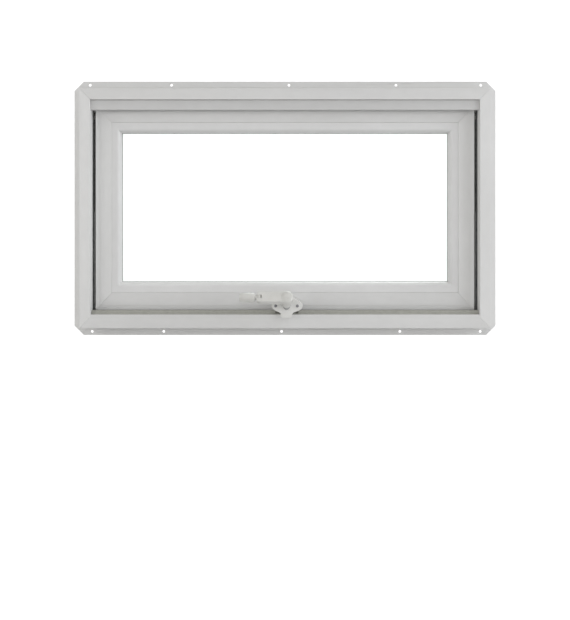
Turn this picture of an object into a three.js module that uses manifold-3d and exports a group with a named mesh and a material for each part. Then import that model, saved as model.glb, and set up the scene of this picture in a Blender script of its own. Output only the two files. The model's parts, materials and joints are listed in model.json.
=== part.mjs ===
// Top-hung awning window: a hollow vinyl frame with a nailing fin, a glazed sash on two sliding
// stay hinges, and a worm-driven operator with a crank handle at the middle of the sill.
// Millimetres. +X to the right seen from the room, +Y outdoors, +Z up.
// The origin is on the underside of the sill, at mid width and mid depth.
import * as THREE from 'three';
import { mergeVertices } from 'three/addons/utils/BufferGeometryUtils.js';
import Module from 'manifold-3d';

const wasm = await Module();
wasm.setup();

// ---------------------------------------------------------------- driving dimensions

const GAP = 0.3; // clearance between pieces that touch or are fitted together
const JOINT_GAP = 0.06; // half of the fine line left at a mitre

// frame
const FRAME_WIDTH = 814;
const FRAME_HEIGHT = 474;
const ROOM_FACE = -36; // y of the frame's room face
const OUT_FACE = 36; // y of the frame's outdoor face
const JAMB_FACE = 21;
const HEAD_FACE = 21.5;
const SILL_FACE = 26.5;
const LIP_BACK = -13.5; // y where the room-side lip of head and jambs ends
const SILL_LIP_BACK = -27;
const JAMB_POCKET = 16; // depth of the jamb behind its lip, where the hinge lies
const HEAD_POCKET = 27;
const SILL_FLOOR = 7;
const SILL_UPSTAND = 15.5;
const SILL_UPSTAND_Y = [25, 28];
const SILL_NOSE = 12; // height of the sill's outdoor edge
const WALL = 2.2;
const WEB_Y = 9; // y of the web between a member's chambers

// nailing fin
const FIN_Y = 3;
const FIN_THICKNESS = 1.5;
const FIN_WIDTH = 20;
const FIN_CORNER_CUT = 19;
const NAIL_HOLE_R = 2.8;
const NAIL_HOLE_INSET = 7.3; // hole centre from the fin's edge
const HEAD_HOLES_X = [-395, -230, 8, 225, 397];
const SILL_HOLES_X = [-391, -246, -7, 233, 396];

// head stop, the bar in front of the sash's top
const STOP_HEIGHT = 19.7;
const STOP_Y = [-31, -18];

// sill strips, which stand behind the sill's lip and close most of the gap under the sash
const STRIP_Y = [-26.6, -25.2];
const STRIP_Z = [12, 34.6];
const STRIP_LOW_TOP = 27.8; // height of the stretch that runs in under the operator cover
const STRIP_LEFT_X = [-385, -19, -9.2];
const STRIP_RIGHT_X = [385, 26.5, 15.2];

// sash
const SASH_HALF = 379.5;
const SASH_BOTTOM = 33.5;
const SASH_TOP = 441;
const SASH_ROOM = -15;
const SASH_OUT = 31;
const SASH_RIM = 9; // width of the set-back rim round the sash
const SASH_RIM_STEP = 0.5;
const STILE_FACE = 32; // from the sash's edge to the bead's seam
const BOTTOM_FACE = 34.5;
const RABBET = 4; // the rabbet's wall lies this far in from the bead's seam
const GLAZING_LEG = 14; // reach of the outdoor leg that the glass sits against
const LEG_Y = 21;
const LEG_CHAMFER = [4, 6]; // across and up the leg's outdoor edge
const BEAD_FACE = 20.5; // from the seam to the glass, top and bottom
const SIDE_BEAD_FACE = 18.5;
const BEAD_Y = -14;
const BEAD_ROUND = 8; // width of the bead's rounded edge at the glass
const BEAD_GAP = 0.15;

// insulated glass
const PANE = 4;
const CAVITY = 12;
const GLASS_HALF = 340;
const GLASS_Z = [76, 401.5];
const SPACER = [2, 5.5]; // inset from the glass edge and width of each ring
const EDGE_SEAL = [0.3, 1.5];
const TAPE = [1, 5.5];
const TAPE_GAP = 0.2;
const BLOCK_X = 170; // middle of each setting block
const BLOCK_HALF = 40;
const BLOCK_Y = [1, 19];

// sash seals
const SEAL_Y = [25.5, 30.5];
const TOP_SEAL_REACH = 4.2;
const SIDE_SEAL_Z = 20; // lower end of the side seals

// sliding stay hinge: a support arm of half the stay height joins the jamb to the sash
const STAY_Y = 2;
const STAY_Z = 27.5;
const ARM = 200;
const STAY_PIN_R = 2.5;
const STAY_HOLE_R = 2.85;
const STAY_WIDTH = 7; // half width of the arms and brackets
const TRACK_HALF = 9;
const TRACK_WALL = 2;
const SHOE_HALF = [6.6, 10];

// operator
const CRANK_X = 3;
const CRANK_TILT = 33; // degrees that the crank shaft rises towards the room
const GEAR_Z = 16.5;
const GEAR_WIDTH = 5;
const GEAR_TEETH = 63; // teeth of the full circle that the sector is part of
const GEAR_R = 28;
const WORM_R = 4.5;
const TOOTH_OUT = 0.75;
const TOOTH_IN = 1.1;
const FIRST_TOOTH = -1;
const LAST_TOOTH = 10;
const ARM_PLATE_Z = [19.3, 21.3];
const ARM_PLATE_HALF = 6;
const BALL_R = 3.3;
const BALL_TRACK_R = 3.7;
const BALL_TRACK_OUTER_R = 5.5;
const BALL_TRACK_X = [-378, -255];
const BALL_HOLE_R = 2.1;
const POST_R = 4;
const POST_BORE_R = 4.35;
const GEAR_HUB_R = 9;
const BASE_X = [-24, 60];
const BASE_Y = [-26.5, 22];
const BASE_THICKNESS = 2;
const RISER_HALF = 7.5;
const RISER_DEPTH = 6;
const RISER_TOP = 30;
const SHAFT_R = 3.2;
const BARREL_R = 7;
const BARREL = [26, 60]; // along the crank shaft, from the worm's middle
const COVER_FRONT = -43;
const COVER_BACK = -16.4;
const COVER_WALL = 2;
const COVER_SCREW_SPAN = 42.6;
const COVER_SCREW_Z = 44.8;

// crank handle, placed along the crank shaft
const HANDLE = [83, 93];
const HUB_R = 13;
const HUB_BACK = 61;
const HUB_CROWN = 1.8; // how far the hub's face stands over the handle's
const HANDLE_HALF = 10.5;
const HANDLE_END = 57.5; // from the crank shaft to the end of the handle's fork
const FORK_HALF = 3.6;
const FORK_DEPTH = 9.8;

// knob that lies in line with the handle and folds out to stand square to it
const KNOB_PIVOT = 53; // from the crank shaft
const KNOB_PIN_R = 1.5;
const KNOB_EAR_R = 4.6;
const KNOB_FROM = 61; // inner and outer end of the grip
const KNOB_TO = 91;
const KNOB_STEM_R = 2.2;
const GRIP_BORE = 2.6;
const GRIP_R = 9.5;

const HALF_W = FRAME_WIDTH / 2;
const PIVOT_X = CRANK_X + WORM_R + GEAR_R;
const STAY_TOP = STAY_Z + 2 * ARM;
const rad = THREE.MathUtils.degToRad;

// ---------------------------------------------------------------- geometry helpers

function solid(geometry) {
  const bare = geometry.clone();
  bare.deleteAttribute('normal');
  bare.deleteAttribute('uv');
  const merged = mergeVertices(bare, 1e-4);
  return new wasm.Manifold(new wasm.Mesh({
    numProp: 3,
    vertProperties: new Float32Array(merged.attributes.position.array),
    triVerts: new Uint32Array(merged.index.array),
  }));
}

function geometryOf(body) {
  const mesh = body.getMesh();
  const geometry = new THREE.BufferGeometry();
  geometry.setAttribute('position', new THREE.BufferAttribute(mesh.vertProperties, 3));
  geometry.setIndex(new THREE.BufferAttribute(mesh.triVerts, 1));
  geometry.computeVertexNormals();
  return geometry;
}

function join(first, ...others) {
  return geometryOf(others.reduce((body, g) => body.add(solid(g)), solid(first)));
}

function cut(first, ...tools) {
  return geometryOf(tools.reduce((body, g) => body.subtract(solid(g)), solid(first)));
}

function clip(first, region) {
  return geometryOf(solid(first).intersect(solid(region)));
}

function polygon(points, holes = []) {
  const shape = new THREE.Shape(points.map(([a, b]) => new THREE.Vector2(a, b)));
  shape.holes = holes;
  return shape;
}

function rectangle(a0, b0, a1, b1) {
  return new THREE.Shape([[a0, b0], [a1, b0], [a1, b1], [a0, b1]].map(([a, b]) => new THREE.Vector2(a, b)));
}

function circle(a, b, radius, steps = 20) {
  const points = [];
  for (let i = 0; i < steps; i++) {
    const t = (2 * Math.PI * i) / steps;
    points.push(new THREE.Vector2(a + radius * Math.cos(t), b + radius * Math.sin(t)));
  }
  return new THREE.Shape(points);
}

// points of an arc about (a, b), angles in degrees
function arc(a, b, radius, from, to, steps) {
  return Array.from({ length: steps + 1 }, (_, i) => {
    const t = rad(from + ((to - from) * i) / steps);
    return [a + radius * Math.cos(t), b + radius * Math.sin(t)];
  });
}

// a flat bar with round ends from p to q
function stadium(p, q, radius) {
  const turn = THREE.MathUtils.radToDeg(Math.atan2(q[1] - p[1], q[0] - p[0]));
  return polygon([
    ...arc(q[0], q[1], radius, turn - 90, turn + 90, 10),
    ...arc(p[0], p[1], radius, turn + 90, turn + 270, 10),
  ]);
}

// extrusions of a shape drawn in (y, z), in (x, z) or in (x, y)
function alongX(shape, x0, x1) {
  const geometry = new THREE.ExtrudeGeometry(shape, { depth: Math.abs(x1 - x0), bevelEnabled: false });
  const turn = new THREE.Matrix4().set(0, 0, 1, 0, 1, 0, 0, 0, 0, 1, 0, 0, 0, 0, 0, 1);
  return geometry.applyMatrix4(turn).translate(Math.min(x0, x1), 0, 0);
}

function alongY(shape, y0, y1) {
  const geometry = new THREE.ExtrudeGeometry(shape, { depth: y1 - y0, bevelEnabled: false });
  return geometry.rotateX(Math.PI / 2).translate(0, y1, 0);
}

function alongZ(shape, z0, z1, steps = 1) {
  const geometry = new THREE.ExtrudeGeometry(shape, { depth: z1 - z0, bevelEnabled: false, steps });
  return geometry.translate(0, 0, z0);
}

// a turned piece about Z: profile as [radius, height] pairs that start and end on the axis
function turned(profile, segments = 20) {
  const points = profile.map(([r, h]) => new THREE.Vector2(r, h));
  if (THREE.ShapeUtils.area(points) < 0) points.reverse();
  return new THREE.LatheGeometry(points, segments).rotateX(Math.PI / 2);
}

// a turned piece about an axis parallel to X, whose heights are x positions
function turnedX(profile, y, z, segments = 20) {
  const geometry = turned(profile, segments).rotateY(Math.PI / 2);
  return geometry.translate(0, y, z);
}

// ---------------------------------------------------------------- materials and scene graph

const MATERIALS = {
  vinyl: { color: 0xcdccca, roughness: 0.42 },
  bead: { color: 0xcbcbca, roughness: 0.4 },
  glass: { color: 0xf4f8f6, roughness: 0.03, transparent: true, opacity: 0.3 },
  spacer: { color: 0xb9bcbe, roughness: 0.4, metalness: 0.8 },
  sealant: { color: 0x2b2b2a, roughness: 0.8 },
  rubber: { color: 0x30322f, roughness: 0.85 },
  steel: { color: 0xa9abad, roughness: 0.35, metalness: 0.9 },
  zinc: { color: 0x9fa2a3, roughness: 0.5, metalness: 0.8 },
  enamel: { color: 0xc8c6bd, roughness: 0.35 },
  nylon: { color: 0xd9d8d2, roughness: 0.5 },
  screw: { color: 0x3a3a3c, roughness: 0.45, metalness: 0.7 },
};

const window3d = new THREE.Group();

function add(name, geometry, materialName, parent = window3d) {
  const material = new THREE.MeshStandardMaterial({ metalness: 0, ...MATERIALS[materialName] });
  const mesh = new THREE.Mesh(geometry, material);
  mesh.name = name;
  parent.add(mesh);
  return mesh;
}

// ---------------------------------------------------------------- frame

// Each frame or sash member is drawn lying along X with its outer edge at z = 0 and its inner
// edge upwards, then turned to its side of the rectangle.
const SIDES = { bottom: 0, left: 90, top: 180, right: -90 };

function toSide(geometry, side, halfWidth, low, high) {
  const middle = (low + high) / 2;
  const place = { bottom: [0, low], top: [0, high], left: [-halfWidth, middle], right: [halfWidth, middle] };
  const [x, z] = place[side];
  return geometry.clone().rotateY(rad(SIDES[side])).translate(x, 0, z);
}

// a bar along X whose section has hollow chambers, open at both ends
function hollowBar({ outline, chambers }, half) {
  return cut(alongX(outline, -half, half), ...chambers.map((c) => alongX(c, -half - 1, half + 1)));
}

function frameMember(profile, length, { width, neighbour, holes = [] }) {
  const half = length / 2;
  const out = half + FIN_WIDTH;
  const bar = hollowBar(profile, out);
  const meet = (2 * FIN_WIDTH - FIN_CORNER_CUT) / 2;
  const slack = JOINT_GAP * Math.SQRT2;
  const corner = Math.min(width, neighbour);
  const right = [
    [out - FIN_CORNER_CUT - slack, -FIN_WIDTH],
    [half + meet - slack, -meet],
    [half - corner - slack, corner],
    [half - neighbour - slack, width + 1],
  ];
  const left = right.map(([x, z]) => [-x, z]).reverse();
  const region = alongY(polygon([...right, ...left]), ROOM_FACE - 1, OUT_FACE + 1);
  const drills = holes.map((x) => (
    alongY(circle(x, NAIL_HOLE_INSET - FIN_WIDTH, NAIL_HOLE_R, 14), FIN_Y - 1, FIN_Y + FIN_THICKNESS + 1)
  ));
  return cut(clip(bar, region), ...drills);
}

function withFin(top, chambers) {
  const fin = [
    [ROOM_FACE, 0],
    [FIN_Y, 0],
    [FIN_Y, -FIN_WIDTH],
    [FIN_Y + FIN_THICKNESS, -FIN_WIDTH],
    [FIN_Y + FIN_THICKNESS, 0],
    [OUT_FACE, 0],
  ];
  return { outline: polygon([...fin, ...top]), chambers };
}

function chamber(y0, z0, y1, z1) {
  return rectangle(y0 + WALL, z0 + WALL, y1 - WALL, z1 - WALL);
}

const pocketChambers = (depth, face) => [
  chamber(ROOM_FACE, 0, LIP_BACK, Math.min(face, depth)),
  chamber(LIP_BACK - WALL, 0, WEB_Y, depth),
  chamber(WEB_Y - WALL, 0, OUT_FACE, depth),
];
const pocketTop = (depth, face) => [[OUT_FACE, depth], [LIP_BACK, depth], [LIP_BACK, face], [ROOM_FACE, face]];

const jambProfile = withFin(pocketTop(JAMB_POCKET, JAMB_FACE), pocketChambers(JAMB_POCKET, JAMB_FACE));
const headProfile = withFin(pocketTop(HEAD_POCKET, HEAD_FACE), pocketChambers(HEAD_POCKET, HEAD_FACE));
const [upstandRoom, upstandOut] = SILL_UPSTAND_Y;
const sillProfile = withFin([
  [OUT_FACE, SILL_NOSE],
  [upstandOut, SILL_UPSTAND],
  [upstandRoom, SILL_UPSTAND],
  [upstandRoom, SILL_FLOOR],
  [SILL_LIP_BACK, SILL_FLOOR],
  [SILL_LIP_BACK, SILL_FACE],
  [ROOM_FACE, SILL_FACE],
], [
  chamber(ROOM_FACE, 0, SILL_LIP_BACK, SILL_FACE),
  chamber(SILL_LIP_BACK - WALL, 0, 0, SILL_FLOOR),
  chamber(-WALL, 0, upstandRoom, SILL_FLOOR),
  chamber(upstandRoom, 0, OUT_FACE, SILL_NOSE + 1),
]);

const jamb = frameMember(jambProfile, FRAME_HEIGHT, { width: JAMB_FACE, neighbour: JAMB_FACE });
const head = frameMember(headProfile, FRAME_WIDTH, {
  width: HEAD_POCKET,
  neighbour: JAMB_FACE,
  holes: HEAD_HOLES_X.map((x) => -x),
});
const sill = frameMember(sillProfile, FRAME_WIDTH, {
  width: SILL_FACE,
  neighbour: JAMB_FACE,
  holes: SILL_HOLES_X,
});

const frameAt = (geometry, side) => toSide(geometry, side, HALF_W, 0, FRAME_HEIGHT);
add('frame_sill', frameAt(sill, 'bottom'), 'vinyl');
add('frame_head', frameAt(head, 'top'), 'vinyl');
add('frame_jamb_left', frameAt(jamb, 'left'), 'vinyl');
add('frame_jamb_right', frameAt(jamb, 'right'), 'vinyl');

const stopTop = FRAME_HEIGHT - HEAD_FACE - GAP;
const stopHalf = HALF_W - JAMB_FACE - GAP;
const stopProfile = {
  outline: rectangle(STOP_Y[0], stopTop - STOP_HEIGHT, STOP_Y[1], stopTop),
  chambers: [chamber(STOP_Y[0], stopTop - STOP_HEIGHT, STOP_Y[1], stopTop)],
};
add('head_stop', hollowBar(stopProfile, stopHalf), 'vinyl');

function sillStrip([end, cover, inner]) {
  const high = polygon([
    [STRIP_Y[0], STRIP_Z[0]],
    [STRIP_Y[1], STRIP_Z[0]],
    [STRIP_Y[1], STRIP_Z[1] - 2],
    [STRIP_Y[1] - 0.5, STRIP_Z[1]],
    [STRIP_Y[0], STRIP_Z[1] - 0.4],
  ]);
  const low = rectangle(STRIP_Y[0], STRIP_Z[0], STRIP_Y[1], STRIP_LOW_TOP);
  return join(alongX(high, end, cover), alongX(low, cover + Math.sign(cover - inner), inner));
}
add('sill_strip_left', sillStrip(STRIP_LEFT_X), 'nylon');
add('sill_strip_right', sillStrip(STRIP_RIGHT_X), 'nylon');

// ---------------------------------------------------------------- sash

function sashProfile(face) {
  const wall = face + RABBET;
  const leg = face + GLAZING_LEG;
  const outline = polygon([
    [SASH_ROOM + SASH_RIM_STEP, 0],
    [SASH_OUT, 0],
    [SASH_OUT, leg - LEG_CHAMFER[1]],
    [SASH_OUT - LEG_CHAMFER[0], leg],
    [LEG_Y, leg],
    [LEG_Y, wall],
    [SASH_ROOM + RABBET, wall],
    [SASH_ROOM + RABBET, face],
    [SASH_ROOM, face],
    [SASH_ROOM, SASH_RIM],
    [SASH_ROOM + SASH_RIM_STEP, SASH_RIM],
  ]);
  const chambers = [
    chamber(SASH_ROOM + SASH_RIM_STEP, 0, WEB_Y, face),
    chamber(WEB_Y - WALL, 0, SASH_OUT, face),
  ];
  return { outline, chambers };
}

function sashMember(face, length, startFace, endFace) {
  const half = length / 2;
  const slack = JOINT_GAP * Math.SQRT2;
  const inner = face + GLAZING_LEG;
  const region = polygon([
    [-half + slack, 0],
    [half - slack, 0],
    [half - endFace - GLAZING_LEG - slack, inner],
    [-half + startFace + GLAZING_LEG + slack, inner],
  ]);
  return clip(hollowBar(sashProfile(face), half), alongY(region, SASH_ROOM - 1, SASH_OUT + 1));
}

const sashHeight = SASH_TOP - SASH_BOTTOM;
const sashAt = (geometry, side) => toSide(geometry, side, SASH_HALF, SASH_BOTTOM, SASH_TOP);
const bottomRail = sashMember(BOTTOM_FACE, 2 * SASH_HALF, STILE_FACE, STILE_FACE);
const topRail = sashMember(STILE_FACE, 2 * SASH_HALF, STILE_FACE, STILE_FACE);
const leftStile = sashMember(STILE_FACE, sashHeight, STILE_FACE, BOTTOM_FACE);
const rightStile = sashMember(STILE_FACE, sashHeight, BOTTOM_FACE, STILE_FACE);
add('sash_bottom_rail', sashAt(bottomRail, 'bottom'), 'vinyl');
add('sash_top_rail', sashAt(topRail, 'top'), 'vinyl');
add('sash_stile_left', sashAt(leftStile, 'left'), 'vinyl');
add('sash_stile_right', sashAt(rightStile, 'right'), 'vinyl');

// glazing beads: top and bottom run right across, the side beads are coped between them
function beadProfile(face, reach) {
  const edge = face + reach;
  const depth = -GAP - BEAD_Y;
  const round = [0, 15, 30, 45, 60, 75, 90].map((turn) => [
    -GAP - depth * Math.sin(rad(turn)),
    edge - BEAD_ROUND * (1 - Math.cos(rad(turn))),
  ]);
  return polygon([
    [BEAD_Y, face + BEAD_GAP],
    [SASH_ROOM + RABBET - GAP, face + BEAD_GAP],
    [SASH_ROOM + RABBET - GAP, face + RABBET + GAP],
    [-GAP, face + RABBET + GAP],
    ...round,
  ]);
}
const beadHalf = SASH_HALF - STILE_FACE - BEAD_GAP;
const longBead = (face) => alongX(beadProfile(face, BEAD_FACE), -beadHalf, beadHalf);
const beadSpace = join(
  alongX(rectangle(BEAD_Y - 1, 0, SASH_ROOM + RABBET - GAP, SASH_TOP), -beadHalf, beadHalf),
  alongX(rectangle(BEAD_Y - 1, 0, PANE, SASH_TOP), RABBET - beadHalf, beadHalf - RABBET),
);
const bottomBead = sashAt(longBead(BOTTOM_FACE), 'bottom');
const topBead = sashAt(longBead(STILE_FACE), 'top');
add('bead_bottom', clip(bottomBead, beadSpace), 'bead');
add('bead_top', clip(topBead, beadSpace), 'bead');

const beadReach = (sashHeight - STILE_FACE - BOTTOM_FACE) / 2;
for (const side of ['left', 'right']) {
  const middle = (SASH_BOTTOM + BOTTOM_FACE + SASH_TOP - STILE_FACE) / 2;
  const offset = middle - (SASH_BOTTOM + SASH_TOP) / 2;
  const end = beadReach - BEAD_FACE + BEAD_ROUND;
  const blank = alongX(beadProfile(STILE_FACE, SIDE_BEAD_FACE), -end, end);
  const bar = sashAt(blank, side).translate(0, 0, offset);
  const lower = bottomBead.clone().translate(0, 0, BEAD_GAP);
  const upper = topBead.clone().translate(0, 0, -BEAD_GAP);
  add(`bead_${side}`, cut(bar, lower, upper), 'bead');
}

// ---------------------------------------------------------------- insulated glass

function glassArea(edge = 0) {
  return rectangle(-GLASS_HALF + edge, GLASS_Z[0] + edge, GLASS_HALF - edge, GLASS_Z[1] - edge);
}

function glassRing([edge, width]) {
  const shape = glassArea(edge);
  shape.holes = [glassArea(edge + width)];
  return shape;
}

const outerPaneY = PANE + CAVITY;
const cavityY = [PANE + GAP, outerPaneY - GAP];
const tapeY = [outerPaneY + PANE + TAPE_GAP, LEG_Y - TAPE_GAP];
add('glass_inner_pane', alongY(glassArea(), 0, PANE), 'glass');
add('glass_outer_pane', alongY(glassArea(), outerPaneY, outerPaneY + PANE), 'glass');
add('glass_spacer', alongY(glassRing(SPACER), ...cavityY), 'spacer');
add('glass_edge_seal', alongY(glassRing(EDGE_SEAL), ...cavityY), 'sealant');
add('glazing_tape', alongY(glassRing(TAPE), ...tapeY), 'sealant');

const blockBottom = SASH_BOTTOM + BOTTOM_FACE + RABBET + GAP;
const blockShape = rectangle(BLOCK_Y[0], blockBottom, BLOCK_Y[1], GLASS_Z[0] - GAP);
for (const [side, sign] of [['left', -1], ['right', 1]]) {
  const block = alongX(blockShape, sign * BLOCK_X - BLOCK_HALF, sign * BLOCK_X + BLOCK_HALF);
  add(`setting_block_${side}`, block, 'rubber');
}

// ---------------------------------------------------------------- sash seals

function seal(reach) {
  return polygon([
    [SEAL_Y[0] + 1.5, -GAP],
    [SEAL_Y[0] + 1.5, -reach + 3],
    [SEAL_Y[0], -reach + 2],
    [SEAL_Y[0] + 1, -reach],
    [SEAL_Y[1] - 1, -reach],
    [SEAL_Y[1], -reach + 2],
    [SEAL_Y[1], -GAP],
  ]);
}
const sealDrop = SASH_BOTTOM - SILL_UPSTAND - 0.7;
add('sash_seal_bottom', sashAt(alongX(seal(sealDrop), -SASH_HALF, SASH_HALF), 'bottom'), 'rubber');
add('sash_seal_top', sashAt(alongX(seal(TOP_SEAL_REACH), -SASH_HALF, SASH_HALF), 'top'), 'rubber');
const sealReach = HALF_W - JAMB_POCKET - SASH_HALF - 0.6;
for (const [side, sign] of [['left', -1], ['right', 1]]) {
  const sealTop = STAY_TOP - SHOE_HALF[1] - 1;
  const middle = (SIDE_SEAL_Z + sealTop - SASH_BOTTOM - SASH_TOP) / 2;
  const half = (sealTop - SIDE_SEAL_Z) / 2;
  const bar = alongX(seal(sealReach), sign * middle - half, sign * middle + half);
  add(`sash_seal_${side}`, sashAt(bar, side), 'rubber');
}

// ---------------------------------------------------------------- sliding stay hinges

// x positions across the pocket, from the sash's side to the jamb's wall
const BRACKET_X = [379.8, 382.3];
const ARM_X = [382.7, 384.7];
const SHOE_X = [386.2, 388.7];
const TRACK_X = [385.8, 389, 390.7];

function stayPin(sign, profile, z) {
  return turnedX(profile.map(([r, x]) => [r, sign * x]), STAY_Y, z);
}

for (const [side, sign] of [['left', -1], ['right', 1]]) {
  const [lip, web, back] = TRACK_X.map((x) => sign * x);
  const track = polygon([
    [lip, STAY_Y - TRACK_HALF],
    [back, STAY_Y - TRACK_HALF],
    [back, STAY_Y + TRACK_HALF],
    [lip, STAY_Y + TRACK_HALF],
    [lip, STAY_Y + TRACK_HALF - TRACK_WALL],
    [web, STAY_Y + TRACK_HALF - TRACK_WALL],
    [web, STAY_Y - TRACK_HALF + TRACK_WALL],
    [lip, STAY_Y - TRACK_HALF + TRACK_WALL],
  ]);
  add(`hinge_track_${side}`, alongZ(track, 18.5, FRAME_HEIGHT - HEAD_POCKET - 3), 'steel');

  const low = [STAY_Y, STAY_Z];
  const mid = [STAY_Y, STAY_Z + ARM];
  const top = [STAY_Y, STAY_TOP];
  const hole = ([y, z]) => circle(y, z, STAY_HOLE_R, 16);
  const drilled = (from, to, [x0, x1]) => cut(
    alongX(stadium(from, to, STAY_WIDTH), sign * x0, sign * x1),
    alongX(hole(from), sign * 370, sign * 400),
    alongX(hole(to), sign * 370, sign * 400),
  );
  add(`hinge_arm_${side}`, drilled(low, mid, ARM_X), 'steel');
  add(`sash_bracket_${side}`, drilled(mid, top, BRACKET_X), 'steel');

  const shoe = polygon([
    [STAY_Y - SHOE_HALF[0], STAY_TOP - SHOE_HALF[1]],
    [STAY_Y + SHOE_HALF[0], STAY_TOP - SHOE_HALF[1]],
    [STAY_Y + SHOE_HALF[0], STAY_TOP + SHOE_HALF[1]],
    [STAY_Y - SHOE_HALF[0], STAY_TOP + SHOE_HALF[1]],
  ], [hole(top)]);
  add(`hinge_shoe_${side}`, alongX(shoe, sign * SHOE_X[0], sign * SHOE_X[1]), 'nylon');

  const r = STAY_PIN_R;
  add(`fixed_pivot_${side}`, stayPin(sign, [
    [0, 381.2], [4, 381.2], [4, 382.4], [r, 382.4], [r, 385.1], [5, 385.1], [5, 388.7], [0, 388.7],
  ], STAY_Z), 'steel');
  add(`arm_rivet_${side}`, stayPin(sign, [
    [0, 379.9], [r, 379.9], [r, 384.95], [4, 384.95], [4, 385.55], [0, 385.55],
  ], STAY_Z + ARM), 'steel');
  add(`shoe_pin_${side}`, stayPin(sign, [
    [0, 379.9], [r, 379.9], [r, 382.6], [3.5, 382.6], [3.5, 385.9], [r, 385.9], [r, 388.5], [0, 388.5],
  ], STAY_TOP), 'steel');
}

// ---------------------------------------------------------------- operator

// The crank shaft runs through (CRANK_X, STAY_Y, GEAR_Z) and rises towards the room.
// Its group has X along the sill, Z along the shaft and Y square to both.
const crank = new THREE.Group();
crank.position.set(CRANK_X, STAY_Y, GEAR_Z);
crank.rotation.x = rad(90 - CRANK_TILT);
crank.updateMatrix();
window3d.add(crank);
const toCrank = (geometry) => geometry.applyMatrix4(crank.matrix);

// the worm's lead angle and axial pitch, solved so that its thread keeps step with the sector
const toothArc = (2 * Math.PI * GEAR_R) / GEAR_TEETH;
let leadAngle = 0;
let wormPitch = toothArc;
for (let i = 0; i < 6; i++) {
  wormPitch = (toothArc * Math.cos(rad(CRANK_TILT) - leadAngle)) / Math.cos(leadAngle);
  leadAngle = Math.atan(wormPitch / (2 * Math.PI * WORM_R));
}
const toothSlant = rad(CRANK_TILT) - leadAngle;

function wormShaft() {
  const root = WORM_R - TOOTH_IN;
  const tip = WORM_R + TOOTH_OUT;
  const reach = 5.6;
  const rows = 36;
  const threadRows = Array.from({ length: rows + 1 }, (_, i) => [root, reach * ((2 * i) / rows - 1)]);
  const geometry = turned([
    [0, -7], [2.4, -7], [root, -6.2], ...threadRows, [root, 6.4], [SHAFT_R, 7],
    [SHAFT_R, HANDLE[1] - 4], [SHAFT_R - 1, HANDLE[1] - 3], [0, HANDLE[1] - 3],
  ], 24);
  const position = geometry.attributes.position;
  for (let i = 0; i < position.count; i++) {
    const [x, y, h] = [position.getX(i), position.getY(i), position.getZ(i)];
    if (Math.abs(h) > reach) continue;
    const turn = h / wormPitch - Math.atan2(y, x) / (2 * Math.PI) + 0.5;
    const flank = THREE.MathUtils.clamp((0.28 - Math.abs(turn - Math.round(turn))) / 0.19, 0, 1);
    const fade = THREE.MathUtils.clamp((reach - Math.abs(h)) / 0.9, 0, 1);
    const scale = (root + (tip - root) * flank * fade) / root;
    position.setXY(i, x * scale, y * scale);
  }
  return geometry;
}
add('worm_shaft', wormShaft(), 'steel', crank);

function sectorGear() {
  const step = 360 / GEAR_TEETH;
  const at = (radius, angle) => [
    PIVOT_X - radius * Math.cos(rad(angle)),
    STAY_Y - radius * Math.sin(rad(angle)),
  ];
  const teeth = [];
  for (let k = FIRST_TOOTH; k <= LAST_TOOTH; k++) {
    teeth.push(at(GEAR_R - TOOTH_IN, (k - 0.25) * step));
    teeth.push(at(GEAR_R + TOOTH_OUT, (k - 0.11) * step));
    teeth.push(at(GEAR_R + TOOTH_OUT, (k + 0.11) * step));
    teeth.push(at(GEAR_R - TOOTH_IN, (k + 0.25) * step));
  }
  const hub = arc(PIVOT_X, STAY_Y, GEAR_HUB_R, 290, 500, 12);
  const shape = polygon([...teeth, ...hub], [circle(PIVOT_X, STAY_Y, POST_BORE_R, 16)]);
  const geometry = alongZ(shape, -GEAR_WIDTH / 2, GEAR_WIDTH / 2, 3);
  const position = geometry.attributes.position;
  for (let i = 0; i < position.count; i++) {
    const turn = (-position.getZ(i) * Math.tan(toothSlant)) / GEAR_R;
    const [dx, dy] = [position.getX(i) - PIVOT_X, position.getY(i) - STAY_Y];
    const x = PIVOT_X + dx * Math.cos(turn) - dy * Math.sin(turn);
    const y = STAY_Y + dx * Math.sin(turn) + dy * Math.cos(turn);
    position.setXY(i, x, y);
  }
  return geometry.translate(0, 0, GEAR_Z);
}
add('sector_gear', sectorGear(), 'zinc');

// the arm steps round the worm and then lies along the sill
const tipX = PIVOT_X - 2 * ARM;
const armRoute = [[PIVOT_X, STAY_Y], [22, 15.5], [-16, 15.5], [-34, STAY_Y], [tipX, STAY_Y]];
const armPlates = armRoute.slice(1).map((end, i) => (
  alongZ(stadium(armRoute[i], end, ARM_PLATE_HALF), ...ARM_PLATE_Z)
));
const drill = (x, y, radius) => alongZ(circle(x, y, radius, 16), 0, 60);
const armHub = alongZ(circle(PIVOT_X, STAY_Y, GEAR_HUB_R - 0.5), ...ARM_PLATE_Z);
add('operator_arm', cut(
  join(armHub, ...armPlates),
  drill(PIVOT_X, STAY_Y, POST_BORE_R),
  drill(tipX, STAY_Y, BALL_HOLE_R),
), 'steel');

const ballSteps = arc(0, STAY_Z, BALL_R, -58, 90, 9).map(([r, z]) => [Math.max(r, 0), z]);
const ballStud = turned([
  [0, 17.6], [3.2, 17.6], [3.6, 18.2], [3.6, 19], [1.7, 19], ...ballSteps.slice(0, -1), [0, STAY_Z + BALL_R],
], 16);
add('ball_stud', ballStud.translate(tipX, STAY_Y, 0), 'steel');

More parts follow.
